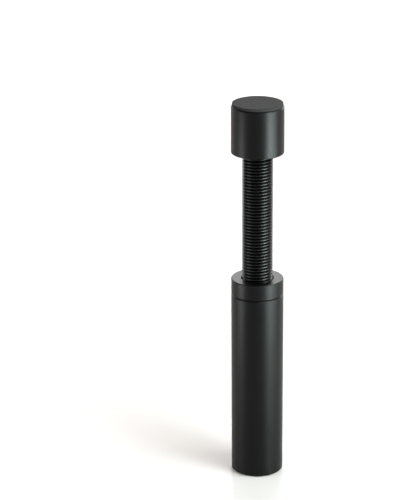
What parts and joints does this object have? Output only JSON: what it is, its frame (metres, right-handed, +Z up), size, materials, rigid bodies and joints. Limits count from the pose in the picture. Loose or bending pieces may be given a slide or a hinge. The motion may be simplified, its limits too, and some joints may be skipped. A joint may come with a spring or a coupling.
{
  "type": "graphics card support bracket",
  "caption": "Black anodised screw-jack post with a magnetic foot, a lock ring and a rubber-topped cap on a threaded rod, turned by hand to hold up a sagging expansion card.",
  "frame": {"origin": "centre of the foot, on the surface that the post stands on", "axes": "+Z up along the post, from the foot to the top pad; X and Y are free, as the post is round"},
  "size_m": [0.0206, 0.0206, 0.1526],
  "materials": {
    "black_anodised": "black anodised, satin",
    "rubber": "matt",
    "magnet": "nickel plated",
    "nylon": "natural",
    "steel": "zinc plated"
  },
  "bodies": {
    "stand": {"barrel": "black_anodised", "base_magnet": "magnet", "base_pad": "rubber"},
    "ring": {"lock_ring": "black_anodised"},
    "guide": {"guide_bush": "nylon"},
    "screw": {"threaded_rod": "black_anodised", "cap": "black_anodised", "top_pad": "rubber", "bush_screw": "steel"}
  },
  "joints": [
    {"name": "lift", "type": "slide", "parent": "stand", "child": "guide", "axis": [0, 0, 1], "range_m": [-0.05063, 0.0075]},
    {"name": "turn", "type": "hinge", "parent": "guide", "child": "screw", "pos_m": [0, 0, 0.0598], "axis": [0, 0, 1], "range_deg": [-14580, 2160]},
    {"name": "lock", "type": "hinge", "parent": "stand", "child": "ring", "pos_m": [0, 0, 0.0754], "axis": [0, 0, 1], "range_deg": [0, 90]}
  ],
  "couplings": [
    {"joint": "turn", "follows": "lift", "rad_per_m": 5026.5}
  ]
}
